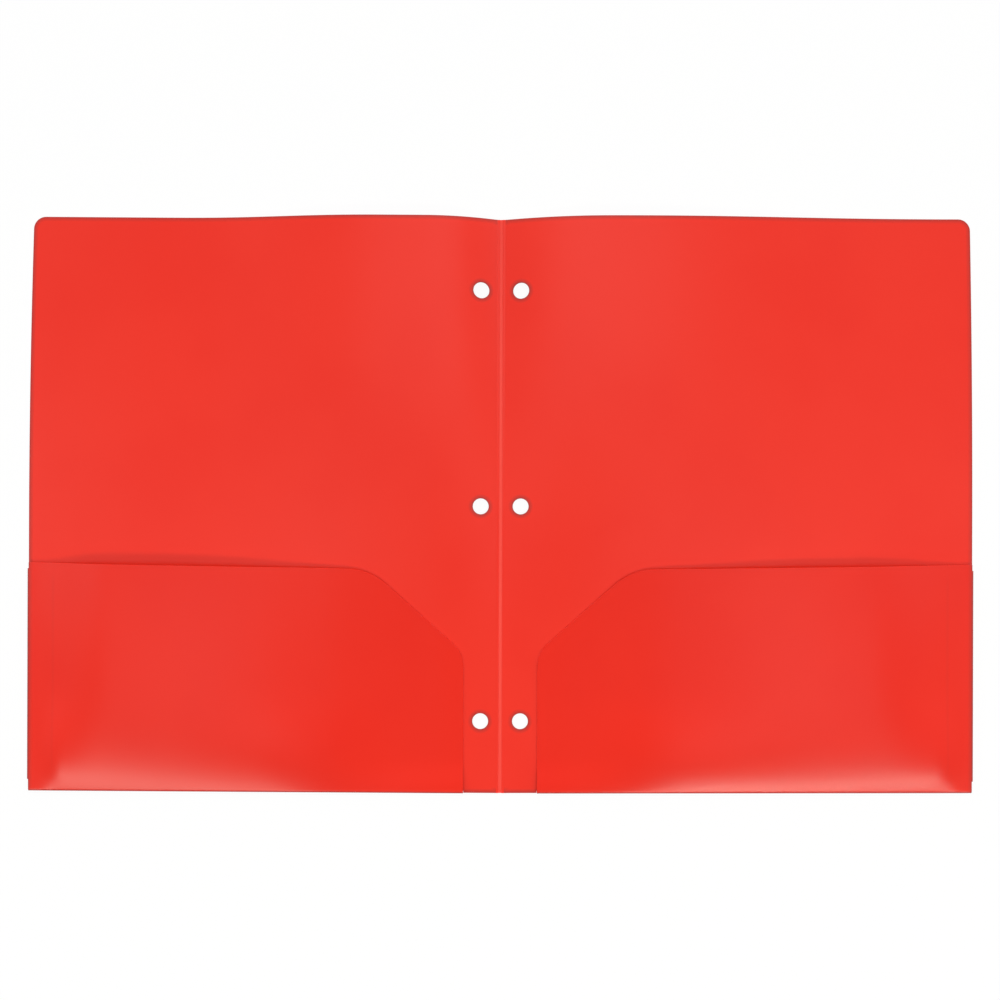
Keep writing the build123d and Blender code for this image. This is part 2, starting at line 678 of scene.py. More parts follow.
def ring_row_rule(bow: bpy.types.NodeTree) -> bpy.types.NodeTree:
    """Builds the rule for a row of small raised rings up the page, which follows the cover's bow.

    Args:
        bow: The group that bows a sheet.

    Returns:
        A tree for a modifier.
    """
    inputs: dict[str, object] = {
        "Count": 3, "First": "NodeSocketVector", "Pitch": 0.1, "Radius": 0.004, "Bead": 0.0002,
        "Stretch": 1.0, "Finish": "NodeSocketMaterial", **CoverBow().inputs(),
    }
    wire, given, result = Wiring.group("row_of_rings", TreeKind.GEOMETRY, inputs, GEOMETRY)
    size = given.outputs
    row = wire.add("GeometryNodeMeshLine", mode="OFFSET", feeds={
        "Count": size["Count"], "Start Location": size["First"],
        "Offset": wire.vector(y=size["Pitch"]),
    })
    circle, bead = (
        wire.add("GeometryNodeCurvePrimitiveCircle", {"Resolution": points, "Radius": size[label]})
        for label, points in (("Radius", RING_POINTS), ("Bead", BEAD_POINTS))
    )
    ring = wire.add("GeometryNodeCurveToMesh", {
        "Curve": circle.outputs["Curve"], "Profile Curve": bead.outputs["Curve"],
    })
    spread = wire.add("GeometryNodeInstanceOnPoints", {
        "Points": row.outputs[0], "Instance": ring.outputs[0],
        "Scale": wire.vector(1.0, 1.0, size["Stretch"]),
    })
    real = wire.add("GeometryNodeRealizeInstances", {"Geometry": spread.outputs[0]})
    finish_tree(wire, bow, real.outputs[0], size, result)
    return wire.tree


@dataclass(frozen=True)
class FlapCrown(RuleSizes):
    """How a pocket flap stands off its cover.

    Attributes:
        crown_height: Rise of the mouth's highest place above the flat flap.
        mouth_rise: Distances from the spine between which the flap climbs at its mouth.
        mouth_fall: Distances from the spine between which the mouth comes down to its outer edge.
        low_rise: Distances from the spine between which the flap climbs just above its fold.
        low_fall: Distances from the spine between which it comes down again there.
        knee_share: Share of the rise that is reached just above the bottom fold.
        knee_length: How quickly the flap swells above the fold.
        flap_length: Length of the flap from its fold to its mouth.
        blend_length: How far up the flap it takes on the shape of its mouth.
    """

    crown_height: float = 5.4
    mouth_rise: Span = (54.0, 172.0)
    mouth_fall: Span = (180.0, 235.0)
    low_rise: Span = (60.0, 210.0)
    low_fall: Span = (208.0, 233.0)
    knee_share: float = 0.72
    knee_length: float = 14.0
    flap_length: float = 114.0
    blend_length: float = 60.0


def arch(wire: Wiring, size: bpy.types.NodeOutputs, reach: Value, place: str) -> bpy.types.NodeSocket:
    """How a flap climbs and comes down again across its width.

    Args:
        wire: The tree's wiring.
        size: The tree's named inputs.
        reach: Distance from the spine.
        place: Which of the flap's arches: the one at its mouth, or the low one.

    Returns:
        The share of the full height.
    """
    rise = wire.ramp(reach, size[f"{place} Rise Start"], size[f"{place} Rise End"])
    fall = wire.ramp(reach, size[f"{place} Fall Start"], size[f"{place} Fall End"], 1.0, 0.0)
    return wire.product(rise, fall)


def flap_rule(bow: bpy.types.NodeTree) -> bpy.types.NodeTree:
    """Builds the rule that crowns a pocket flap, which also follows the cover's bow.

    Args:
        bow: The group that bows a sheet.

    Returns:
        A tree for a modifier, which reads how far up the flap each point lies.
    """
    inputs = {**GEOMETRY, **FlapCrown().inputs(), **CoverBow().inputs(), "Finish": "NodeSocketMaterial"}
    wire, given, result = Wiring.group("crowned_flap", TreeKind.GEOMETRY, inputs, GEOMETRY)
    size = given.outputs
    x, _, _ = wire.axes(wire.add("GeometryNodeInputPosition").outputs[0])
    reach = wire.sum("ABSOLUTE", x)
    mouth_arch, low_arch = (arch(wire, size, reach, place) for place in ("Mouth", "Low"))
    up_mark = wire.add("GeometryNodeInputNamedAttribute", {"Name": "up_flap"}, data_type="FLOAT")
    up = wire.product(up_mark.outputs[0], MM)
    fading = wire.sum("EXPONENT", wire.product(wire.sum("DIVIDE", up, size["Knee Length"]), -1.0))
    knee = wire.product(wire.sum("SUBTRACT", 1.0, fading), size["Knee Share"])
    slope = wire.product(
        wire.sum("DIVIDE", up, size["Flap Length"]), wire.sum("SUBTRACT", 1.0, size["Knee Share"])
    )
    high = wire.ramp(up, 0.0, size["Blend Length"])
    low_part = wire.product(low_arch, wire.sum("SUBTRACT", 1.0, high))
    bulge = wire.sum("ADD", wire.product(mouth_arch, high), low_part)
    offset = wire.vector(z=wire.product(size["Crown Height"], bulge, wire.sum("ADD", knee, slope)))
    moved = wire.add("GeometryNodeSetPosition", {"Geometry": size["Geometry"], "Offset": offset})
    finish_tree(wire, bow, moved.outputs[0], size, result)
    return wire.tree


@dataclass
class Rules:
    """The Geometry Nodes rules, built once and used for both sides.

    Attributes:
        cover: Bows a cover.
        rings: Makes a row of raised rings.
        flap: Crowns a pocket flap.
    """

    cover: bpy.types.NodeTree
    rings: bpy.types.NodeTree
    flap: bpy.types.NodeTree

    @classmethod
    def build(cls) -> Rules:
        """Builds the rules."""
        bow = bow_group()
        return cls(cover_rule(bow), ring_row_rule(bow), flap_rule(bow))


def ring_row(name: str, rules: Rules, sizes: dict[str, object]) -> bpy.types.Object:
    """Makes a row of small raised rings.

    Args:
        name: Name of the piece.
        rules: The shared Geometry Nodes rules.
        sizes: Value of each of the rule's named inputs, lengths in metres.

    Returns:
        The new piece.
    """
    made = shape_by_rule(linked(name, bpy.data.meshes.new(name)), rules.rings, sizes)
    made.data.shade_smooth()
    return made


# Finishes


def grain_group() -> bpy.types.NodeTree:
    """Builds the fine satin grain of calendered sheet, with the sheet's slight waviness.

    Returns:
        A shader group that puts out a height for a Bump node.
    """
    inputs: dict[str, object] = {
        "Vector": "NodeSocketVector", "Grain Scale": 2600.0, "Grain Detail": 2.0,
        "Wave Scale": 55.0, "Wave Detail": 1.0, "Wave Share": 0.5,
    }
    outputs = {"Height": "NodeSocketFloat"}
    wire, given, result = Wiring.group("satin_grain", TreeKind.SHADER, inputs, outputs)
    size = given.outputs
    grain, wave = (
        wire.noise(size["Vector"], size[f"{layer} Scale"], size[f"{layer} Detail"])
        for layer in ("Grain", "Wave")
    )
    waves = wire.product(wave, size["Wave Share"])
    wire.feed(result.inputs["Height"], wire.sum("ADD", grain, waves))
    return wire.tree


STREAK_STRETCH = (70.0, 4.0, 60.0)
NOISE_MIDDLE = 0.5


def mottle_group() -> bpy.types.NodeTree:
    """Builds the faint clouding and drawing streaks of coloured sheet.

    Returns:
        A shader group that puts out a colour and a roughness.
    """
    inputs: dict[str, object] = {
        "Vector": "NodeSocketVector", "Colour": (0.8, 0.1, 0.1, 1.0),
        "Deep Colour": (0.7, 0.05, 0.05, 1.0), "Clouding": 0.7, "Cloud Scale": 14.0, "Cloud Detail": 3.0,
        "Cloud Start": 0.35, "Cloud End": 0.7, "Roughness": 0.35, "Streaks": 0.012,
    }
    outputs = {"Colour": "NodeSocketColor", "Roughness": "NodeSocketFloat"}
    wire, given, result = Wiring.group("sheet_clouding", TreeKind.SHADER, inputs, outputs)
    size = given.outputs
    cloud = wire.noise(size["Vector"], size["Cloud Scale"], size["Cloud Detail"])
    shade = wire.product(wire.ramp(cloud, size["Cloud Start"], size["Cloud End"]), size["Clouding"])
    wire.feed(result.inputs["Colour"], wire.mix(shade, size["Colour"], size["Deep Colour"]))
    drawn = wire.add("ShaderNodeMapping", {"Vector": size["Vector"], "Scale": STREAK_STRETCH})
    streak = wire.sum("SUBTRACT", wire.noise(drawn.outputs[0], 1.0, 0.0), NOISE_MIDDLE)
    swing = wire.product(streak, size["Streaks"], 2.0)
    wire.feed(result.inputs["Roughness"], wire.sum("ADD", size["Roughness"], swing))
    return wire.tree


def mark_group() -> bpy.types.NodeTree:
    """Builds the broken-up mask of the painted shade along an edge, or of a crease, from the mark that a
    mesh carries there.

    Returns:
        A shader group that puts out a mask.
    """
    inputs: dict[str, object] = {
        "Vector": "NodeSocketVector", "Mark": 0.0, "Strength": 1.0,
        "Break Up": 0.3, "Break Scale": 320.0, "Break Detail": 2.0,
    }
    wire, given, result = Wiring.group("edge_mask", TreeKind.SHADER, inputs, {"Mask": "NodeSocketFloat"})
    size = given.outputs
    noise = wire.noise(size["Vector"], size["Break Scale"], size["Break Detail"])
    broken = wire.sum("SUBTRACT", 1.0, wire.product(noise, size["Break Up"]))
    wire.feed(result.inputs["Mask"], wire.product(size["Mark"], size["Strength"], broken))
    return wire.tree


@dataclass
class Effects:
    """The effects that the finishes share.

    Attributes:
        grain: The satin grain.
        clouding: The clouding and the drawing streaks.
        mask: The broken-up mask of the painted edge shade or of a crease.
    """

    grain: bpy.types.NodeTree
    clouding: bpy.types.NodeTree
    mask: bpy.types.NodeTree

    @classmethod
    def build(cls) -> Effects:
        """Builds the shader groups."""
        return cls(grain_group(), mottle_group(), mark_group())


@dataclass(frozen=True)
class SheetFinish:
    """Satin plastic sheet in one colour.

    Attributes:
        name: Name of the material.
        colour: Its colour.
        deep_colour: The colour of its deeper clouds.
        edge_colour: The colour of the painted shade along its cut edges and folds.
        crease_colour: The stretched, paler colour of its creases.
        roughness: How dull it is.
        crease_roughness: How much duller a crease is.
        grain_depth: Height of the grain.
        edge: Strength of the painted edge shade.
        crease: Strength of the crease colour.
        bending: How strongly it bends light.
    """

    name: str
    colour: Colour = (0.845, 0.0226, 0.0069)
    deep_colour: Colour = (0.825, 0.0178, 0.0042)
    edge_colour: Colour = (0.28, 0.030, 0.025)
    crease_colour: Colour = (0.95, 0.078, 0.052)
    roughness: float = 0.30
    crease_roughness: float = 0.05
    grain_depth: float = 0.000006
    edge: float = 0.75
    crease: float = 0.5
    bending: float = 1.49

    def material(self, effects: Effects) -> bpy.types.Material:
        """Builds the material.

        Args:
            effects: The shared shader groups.

        Returns:
            The new material.
        """
        made = bpy.data.materials.new(self.name)
        made.use_nodes = True
        wire = Wiring(made.node_tree)
        shader = made.node_tree.nodes["Principled BSDF"]
        vector = wire.add("ShaderNodeTexCoord").outputs["Object"]
        sheet = wire.place(effects.clouding, {
            "Vector": vector, "Colour": rgba(self.colour), "Deep Colour": rgba(self.deep_colour),
            "Roughness": self.roughness,
        }).outputs
        # The first mask lays painted shade along cut edges and folds; the second pales the creases.
        edge_mask, crease_mask = (
            wire.place(effects.mask, {
                "Mark": wire.add("ShaderNodeAttribute", attribute_name=mark).outputs["Fac"],
                "Vector": vector, "Strength": strength,
            }).outputs["Mask"]
            for mark, strength in (("cut_edge", self.edge), ("crease", self.crease))
        )
        creased = wire.mix(crease_mask, sheet["Colour"], rgba(self.crease_colour))
        dulling = wire.product(crease_mask, self.crease_roughness)
        grain = wire.place(effects.grain, {"Vector": vector}).outputs["Height"]
        bump = wire.add("ShaderNodeBump", {"Strength": 1.0, "Distance": self.grain_depth, "Height": grain})
        feeds = {
            "Base Color": wire.mix(edge_mask, creased, rgba(self.edge_colour)),
            "Roughness": wire.sum("ADD", sheet["Roughness"], dulling),
            "Normal": bump.outputs[0],
            "IOR": self.bending,
        }
        for name, value in feeds.items():
            wire.feed(shader.inputs[name], value)
        return made


@dataclass
class Finishes:
    """The folder's finishes.

    Attributes:
        cover: For the covers.
        pocket: For the pockets.
        tab: For the tabs behind the pockets.
        crease: For the spine strip.
        rim: For the rims of the ring holes, darkened as painted shade.
        weld: For the welds and their marks.
    """

    cover: bpy.types.Material
    pocket: bpy.types.Material
    tab: bpy.types.Material
    crease: bpy.types.Material
    rim: bpy.types.Material
    weld: bpy.types.Material

    @classmethod
    def build(cls, effects: Effects) -> Finishes:
        """Builds every material.

        Args:
            effects: The shared shader groups.

        Returns:
            The finishes.
        """
        looks = {
            "cover": SheetFinish("cover_sheet"),
            # The pocket's edge strength sets how deep its painted edge shade is.
            "pocket": SheetFinish(
                "pocket_sheet", colour=(0.805, 0.0150, 0.0018), deep_colour=(0.785, 0.0125, 0.0012),
                roughness=0.25, crease_roughness=0.0, edge=0.95,
            ),
            "tab": SheetFinish("tab_sheet", roughness=0.42),
            "crease": SheetFinish("spine_crease", crease=0.9),
            # The rims' dark colour is painted shade round the holes.
            "rim": SheetFinish("punched_rim", colour=(0.42, 0.05, 0.04), deep_colour=(0.3, 0.04, 0.035)),
            "weld": SheetFinish("weld_spot", colour=(0.62, 0.05, 0.03), roughness=0.25),
        }
        return cls(**{use: look.material(effects) for use, look in looks.items()})


# The folder's pieces


@dataclass(frozen=True)
class Stock:
    """The sheet that the whole folder is cut from.

    Attributes:
        thickness: Its thickness.
        broken_edge: Size of the chamfer along a cut edge.
        edge_band: Distances from a cut edge between which the painted edge shade fades.
        near_edge: Distances from a cut edge at which a mesh has rows of points.
    """

    thickness: float = 0.45
    broken_edge: float = 0.09
    edge_band: Span = (0.3, 2.2)
    near_edge: tuple[float, ...] = (0.4, 0.9, 1.5, 2.3)

    def edge_mark(self, distance: np.ndarray) -> np.ndarray:
        """How strongly a point takes the painted shade along a cut edge, from its distance to the edge."""
        near, far = self.edge_band
        return share_between(distance, far, near)

    def cut(self, flat: Surface, side: Side) -> Surface:
        """Cuts a piece of sheet.

        Args:
            flat: Middle surface of the right-hand piece.
            side: The side that it is for.

        Returns:
            The piece with its thickness and broken edges.
        """
        sheet = flat.thickened(self.thickness, self.broken_edge)
        return sheet.mirrored() if side is Side.LEFT else sheet


@dataclass
class Cover:
    """One cover: a panel with three ring holes, bowed beside the spine.

    Attributes:
        side: Which half of the folder it is.
        bow: Its bow.
        stock: The sheet that it is cut from.
        width: Distance from the spine's middle to its outer edge.
        head_y: Place of its upper edge.
        foot_y: Place of its lower edge beside the spine.
        crease_y: Place where it runs into the pocket's fold.
        spine_x: Half the width of the spine strip.
        tongue_x: Where the short lower edge beside the spine ends.
        corner_round: Radius of its upper outer corner.
        foot_chamfer: Size of its cut lower corner.
        hole_radius: Radius of a ring hole.
        hole_setback: Distance of the holes from the spine.
        hole_spacing: Distance from hole to hole.
        hole_points: Number of points round a hole.
        mesh_step: Spacing of the mesh's points.
        least_gap: How near to an edge a point may lie.
        band_share: Share of the spacing that stays clear beside the rows along an edge.
        merge_gap: Distance at which the mesh's points count as one.
        closed_keep: Share of the bow that is left when the folder is shut; not used.
        rim_bead: Thickness of a hole's raised rim.
        rim_radius: Radius of that rim.
        rim_stretch: How much taller than wide it is.
    """

    side: Side
    bow: CoverBow
    stock: Stock = field(default_factory=Stock)
    width: float = 237.0
    head_y: float = 144.0
    foot_y: float = -144.0
    crease_y: float = -142.95
    spine_x: float = 2.0
    tongue_x: float = 18.4
    corner_round: float = 6.0
    foot_chamfer: float = 1.0
    hole_radius: float = 4.0
    hole_setback: float = 10.0
    hole_spacing: float = 107.95
    hole_points: int = 40
    mesh_step: float = 3.0
    least_gap: float = 0.3
    band_share: float = 0.4
    merge_gap: float = 1e-5
    closed_keep: float = 0.5
    rim_bead: float = 0.17
    rim_radius: float = 4.12
    rim_stretch: float = 1.5

    def cut_paths(self) -> list[np.ndarray]:
        """The right cover's cut edges that don't run round a hole.

        Returns:
            The edge at the foot, and the one from the outer corner up and across the head.
        """
        foot = [(self.spine_x, self.foot_y, 0), (self.tongue_x, self.foot_y, 0)]
        outside = [
            (self.width - self.foot_chamfer, self.crease_y, 0),
            (self.width, self.crease_y + self.foot_chamfer, 0),
            (self.width, self.head_y, self.corner_round),
            (self.spine_x, self.head_y, 0),
        ]
        return [rounded_path(foot), rounded_path(outside)]

    def outline(self) -> np.ndarray:
        """The right cover's outline.

        Returns:
            A closed loop of evenly spaced points.
        """
        foot, outside = self.cut_paths()
        corner = [(self.tongue_x, self.crease_y)]
        return divided(np.vstack([foot, corner, outside, foot[:1]]), self.mesh_step)[:-1]

    def holes(self) -> list[np.ndarray]:
        """The right cover's ring holes.

        Returns:
            A loop of points for each hole.
        """
        turn = np.arange(self.hole_points) * 2 * math.pi / self.hole_points
        circle = np.column_stack([np.cos(turn), np.sin(turn)]) * self.hole_radius
        rows = (-self.hole_spacing, 0.0, self.hole_spacing)
        return [circle + (self.hole_setback, y) for y in rows]

    def flat_sheet(self) -> Surface:
        """The right cover's middle surface, flat on the table.

        Returns:
            The surface, with the painted shade along its cut edges marked.
        """
        loop, holes = self.outline(), self.holes()
        xs = np.arange(self.spine_x, self.width, self.mesh_step)
        ys = np.arange(self.foot_y, self.head_y, self.mesh_step)
        extra = [np.stack(np.meshgrid(xs, ys), -1).reshape(-1, 2)]
        for gap in self.stock.near_edge:
            extra += [self.inset_loop(loop, gap)]
            extra += [h.mean(0) + (h - h.mean(0)) * (1 + gap / self.hole_radius) for h in holes]
        points = np.vstack(extra)
        cut = self.cut_distance(points)
        rim = distance_to(points, np.vstack([loop, loop[:1]]))
        wanted = inside(points, loop) & (rim > self.least_gap) & (cut > self.least_gap)
        on_grid = np.arange(len(points)) < len(extra[0])
        wanted &= ~on_grid | (cut >= self.stock.near_edge[-1] + self.band_share * self.mesh_step)
        for hole in holes:
            wanted &= np.linalg.norm(points - hole.mean(0), axis=1) > self.hole_radius
        return self.filled(loop, holes, points[wanted])

    def inset_loop(self, loop: np.ndarray, gap: float) -> np.ndarray:
        """Moves the outline inwards.

        Args:
            loop: The outline.
            gap: How far.

        Returns:
            The moved points.
        """
        along = np.roll(loop, -1, axis=0) - np.roll(loop, 1, axis=0)
        along /= np.linalg.norm(along, axis=1, keepdims=True)
        return loop + np.column_stack([-along[:, 1], along[:, 0]]) * gap

    def cut_distance(self, flat: np.ndarray) -> np.ndarray:
        """How far each point of the flat cover lies from its nearest cut edge.

        Args:
            flat: The points, one row each.

        Returns:
            The distances.
        """
        gaps = [distance_to(flat, path) for path in self.cut_paths()]
        for hole in self.holes():
            gaps.append(np.abs(np.linalg.norm(flat - hole.mean(0), axis=1) - self.hole_radius))
        return np.min(gaps, axis=0)

    def filled(self, loop: np.ndarray, holes: list[np.ndarray], extra: np.ndarray) -> Surface:
        """Fills the outline with triangles.

        Args:
            loop: The outline.
            holes: The loops that stay empty.
            extra: Points inside the outline.

        Returns:
            The flat surface at the middle of the sheet.
        """
        loops = [loop, *holes]
        edges: list[tuple[int, int]] = []
        start = 0
        for ring in loops:
            count = len(ring)
            edges += [(start + n, start + (n + 1) % count) for n in range(count)]
            start += count
        places = [Vector(p) for p in np.vstack([*loops, extra])]
        found = delaunay_2d_cdt(places, edges, [], 0, self.merge_gap)
        flat = np.array([tuple(p) for p in found[0]])
        faces = [tuple(f) for f in found[2]]
        centres = np.array([flat[list(f)].mean(0) for f in faces])
        keep = inside(centres, loop)
        for hole in holes:
            keep &= ~inside(centres, hole)
        faces = [f for f, wanted in zip(faces, keep) if wanted]
        turned = [self.anticlockwise(flat, f) for f in faces]
        points = np.column_stack([flat, np.full(len(flat), self.stock.thickness / 2)])
        x, y = flat.T
        on_fold = (np.abs(y - self.crease_y) < TOUCHING) & (x > self.tongue_x - TOUCHING)
        joined = (np.abs(x - self.spine_x) < TOUCHING) | on_fold
        # Painted shade along the cut edges and round the holes.
        marks = {"cut_edge": self.stock.edge_mark(self.cut_distance(flat))}
        return Surface(points, turned, marks, joined)

    @staticmethod
    def anticlockwise(flat: np.ndarray, face: Face) -> Face:
        """Turns a face so that it looks up.

        Args:
            flat: Places of the points.
            face: Point numbers of a triangle.

        Returns:
            The same points, anticlockwise.
        """
        a, b, c = flat[list(face)[:3]]
        turn = (b[0] - a[0]) * (c[1] - a[1]) - (b[1] - a[1]) * (c[0] - a[0])
        return face if turn > 0 else tuple(reversed(face))

    def build(self, rules: Rules, finishes: Finishes) -> None:
        """Builds the cover and the swaged rims of its holes.

        Args:
            rules: The shared Geometry Nodes rules.
            finishes: The folder's finishes.
        """
        sheet = self.stock.cut(self.flat_sheet(), self.side)
        panel = sheet.piece(f"{self.side.word}_cover_sheet", finishes.cover)
        shape_by_rule(panel, rules.cover, {**self.bow.inputs(), "Finish": finishes.cover})
        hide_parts(f"{self.side.word}_cover")
        self.settle(panel)
        self.build_rims(rules, finishes)

    def build_rims(self, rules: Rules, finishes: Finishes) -> None:
        """Builds the slightly raised rims that the punch leaves round the holes.

        Args:
            rules: The shared Geometry Nodes rules.
            finishes: The folder's finishes.
        """
        holes = self.holes()
        first = (self.side.value * self.hole_setback, -self.hole_spacing, self.stock.thickness / 2)
        rims = ring_row(f"{self.side.word}_ring_hole_rims", rules, {
            "Count": len(holes), "First": [c * MM for c in first], "Pitch": self.hole_spacing * MM,
            "Radius": self.rim_radius * MM, "Bead": self.rim_bead * MM, "Stretch": self.rim_stretch,
            "Finish": finishes.rim, **self.bow.inputs(),
        })
        self.settle(rims)

    def settle(self, piece: bpy.types.Object) -> None:
        """Lets a piece ride on the cover.

        Args:
            piece: The cover's sheet or its rims.
        """
        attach(piece, self.side.cover_body)
        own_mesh(piece)
        LOG.info("%s rides on %s", piece.name, self.side.cover_body)


@dataclass
class SpineWeb:
    """The strip between the covers, thinned by a coined groove so that it bends there.

    Attributes:
        stock: The sheet that it is part of.
        half_width: Half its width.
        half_length: Half its length.
        groove_half: Half the groove's width at the surface.
        groove_floor: Half the width of the groove's floor.
        pale_half: Half the width of the paled line along the groove.
        wear: How strongly the line has paled, from the foot to the head.
        groove_depth: Depth of the groove.
        columns: Number of points across it.
        rows: Number of points along it.
    """

    stock: Stock = field(default_factory=Stock)
    half_width: float = 2.0
    half_length: float = 144.0
    groove_half: float = 1.1
    groove_floor: float = 0.5
    pale_half: float = 0.80
    wear: tuple[Span, ...] = ((-144.0, 0.8), (-50.0, 1.0), (50.0, 0.8), (144.0, 0.4))
    groove_depth: float = 0.22
    columns: int = 33
    rows: int = 73

    def build(self, finishes: Finishes) -> None:
        """Builds the strip as one closed mesh between the covers.

        Args:
            finishes: The folder's finishes.
        """
        xs = np.linspace(-self.half_width, self.half_width, self.columns)
        ys = np.linspace(-self.half_length, self.half_length, self.rows)
        depth = 1 - smoothed(share_between(np.abs(xs), self.groove_floor, self.groove_half))
        grid_x, grid_y = np.meshgrid(xs, ys)
        heights = np.tile(self.stock.thickness - self.groove_depth * depth, self.rows)
        top = np.column_stack([grid_x.ravel(), grid_y.ravel(), heights])
        bottom = top * (1, 1, 0)
        count = len(top)
        faces = grid_faces(self.rows, self.columns)
        sheet = Surface(top, faces, {}, np.zeros(count, bool))
        walls = [(a, a + count, b + count, b) for a, b in sheet.rim()]
        under = [tuple(p + count for p in reversed(f)) for f in faces]
        pale = share_between(np.abs(xs), self.pale_half, self.groove_floor)
        mark = np.outer(np.interp(ys, *zip(*self.wear)), pale).ravel()
        marks = {"crease": np.concatenate([mark, mark])}
        joined = np.zeros(2 * count, bool)
        whole = Surface(np.vstack([top, bottom]), faces + under + walls, marks, joined)
        web = whole.piece("spine_web", finishes.crease)
        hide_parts("spine_hinge")
        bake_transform(web)
        LOG.info("%s bends between the covers", web.name)


@dataclass
class PocketSheet:
    """One pocket: its flap, the fold along its bottom and the fold down its outer edge.

    Attributes:
        side: Which half of the folder it is on.
        crown: How its flap stands off the cover.
        bow: The bow of its cover, which it follows.
        stock: The sheet that it is cut from.
        inner_x: Distance from the spine to the flap's inner edge.
        outer_x: Distance from the spine to the crease of its side fold.
        crease_y: Place where the cover runs into the bottom fold.
        fold_radius: Radius of the bottom fold, at the middle of the sheet.
        fold_steps: Number of steps round that fold.
        tab_radius: Radius of the side fold.
        tab_fold_steps: Number of steps round it.
        tab_low_y: Lower end of the side fold and the tab.
        tab_high_y: Upper end of both.
        tab_edge_x: Distance from the spine to the tab's free edge.
        tab_taper: Length over which the tab's ends are cut back.
        tab_line: Half the width of the faint line of painted shade that the tab's edge lays down the flap.
        tab_mark: Strength of that painted shade.
        lip_outer_y: Place of the lip at its outer end.
        lip_inner_y: Place of the lip where the cut-away begins.
        cutaway: Width and height of the cut-away inner corner.
        cutaway_round: Radius of the cut-away's lower corner.
        lip_round: Radius of its upper corner.
        rest_z: Height of the flap's middle where it rests on the cover.
        lip_mark: Strength of the painted edge shade along the lip.
        lip_step: Widest step along the lip when distances to it are measured.
        side_margin: How far past the side crease the painted edge shade is measured from.
        crease_reach: How far up the flap the bottom crease is paled.
        fold_line: Places below the crease between which painted shade darkens the bottom fold.
        fold_mark: Strength of that painted shade.
        rest_reach: Distances from the spine between which the flap lifts off the cover.
        rest_climb: How far up the flap it has come down to the cover.
        lift_from: Distance from the spine where the flap begins to follow its own body; not used.
        lift_full: Distance from the spine where it follows that body wholly; not used.
        inner_gaps: Distances of further columns of points from the inner edge.
        middle_columns: First and last column across the flap's middle.
        middle_step: Their spacing.
        outer_columns: First and last column of each closer set near the outer edge.
        outer_steps: Spacing of each of those sets.
        lip_gaps: Distances of further rows of points from the lip.
        swell_rows: Rows of points where the flap swells above its fold.
        even_rows: Number of evenly spaced rows in between.
        even_start: The first of them.
        even_margin: Distance of the last of them from the rows along the lip.
    """

    side: Side
    crown: FlapCrown
    bow: CoverBow
    stock: Stock = field(default_factory=Stock)
    inner_x: float = 18.5
    outer_x: float = 236.25
    crease_y: float = -142.95
    fold_radius: float = 0.825
    fold_steps: int = 12
    tab_radius: float = 0.525
    tab_fold_steps: int = 8
    tab_low_y: float = -138.0
    tab_high_y: float = -32.5
    tab_edge_x: float = 223.65
    tab_taper: float = 8.0
    tab_line: float = 1.1
    tab_mark: float = 0.085
    lip_outer_y: float = -29.5
    lip_inner_y: float = -31.5
    cutaway: Span = (47.0, 42.0)
    cutaway_round: float = 15.0
    lip_round: float = 31.0
    rest_z: float = 0.74
    lip_mark: float = 0.03
    lip_step: float = 2.0
    side_margin: float = 0.5
    crease_reach: float = 3.0
    fold_line: Span = (-0.10, 0.35)
    fold_mark: float = 0.7
    rest_reach: Span = (34.0, 90.0)
    rest_climb: float = 16.0
    lift_from: float = 236.0
    lift_full: float = 150.0
    inner_gaps: tuple[float, ...] = (3.4, 4.8, 6.4, 8.2, 10.2, 12.4)
    middle_columns: Span = (33.5, 216.0)
    middle_step: float = 3.0
    outer_columns: tuple[Span, ...] = ((217.0, 222.0), (222.0, 228.0), (228.0, 236.0))
    outer_steps: tuple[float, ...] = (1.0, 0.5, 1.0)
    lip_gaps: tuple[float, ...] = (3.6, 5.4)
    swell_rows: tuple[float, ...] = (0.6, 1.4, 2.4, 3.6, 5.0, 6.6, 8.4, 10.5, 13.0, 16.0, 19.5)
    even_rows: int = 24
    even_start: float = 23.0
    even_margin: float = 3.0

    def mouth(self) -> np.ndarray:
        """The right flap's free edge.

        Returns:
            Its points, from the inner side to the outer end.
        """
        width, height = self.cutaway
        corners = [
            (self.inner_x, self.crease_y, 0),
            (self.inner_x, self.lip_inner_y - height, self.cutaway_round),
            (self.inner_x + width, self.lip_inner_y, self.lip_round),
            (self.outer_x, self.lip_outer_y, 0),
        ]
        return rounded_path(corners)

    def columns(self) -> np.ndarray:
        """Distances from the spine at which the flap has a column of points.

        Returns:
            The distances, from the inner edge to the side fold.
        """
        inner = [self.inner_x + gap for gap in (0.0, *self.stock.near_edge, *self.inner_gaps)]
        middle = np.arange(*self.middle_columns, self.middle_step)
        outer = [np.arange(*span, step) for span, step in zip(self.outer_columns, self.outer_steps)]
        return np.array([*inner, *middle, *np.concatenate(outer), self.outer_x])

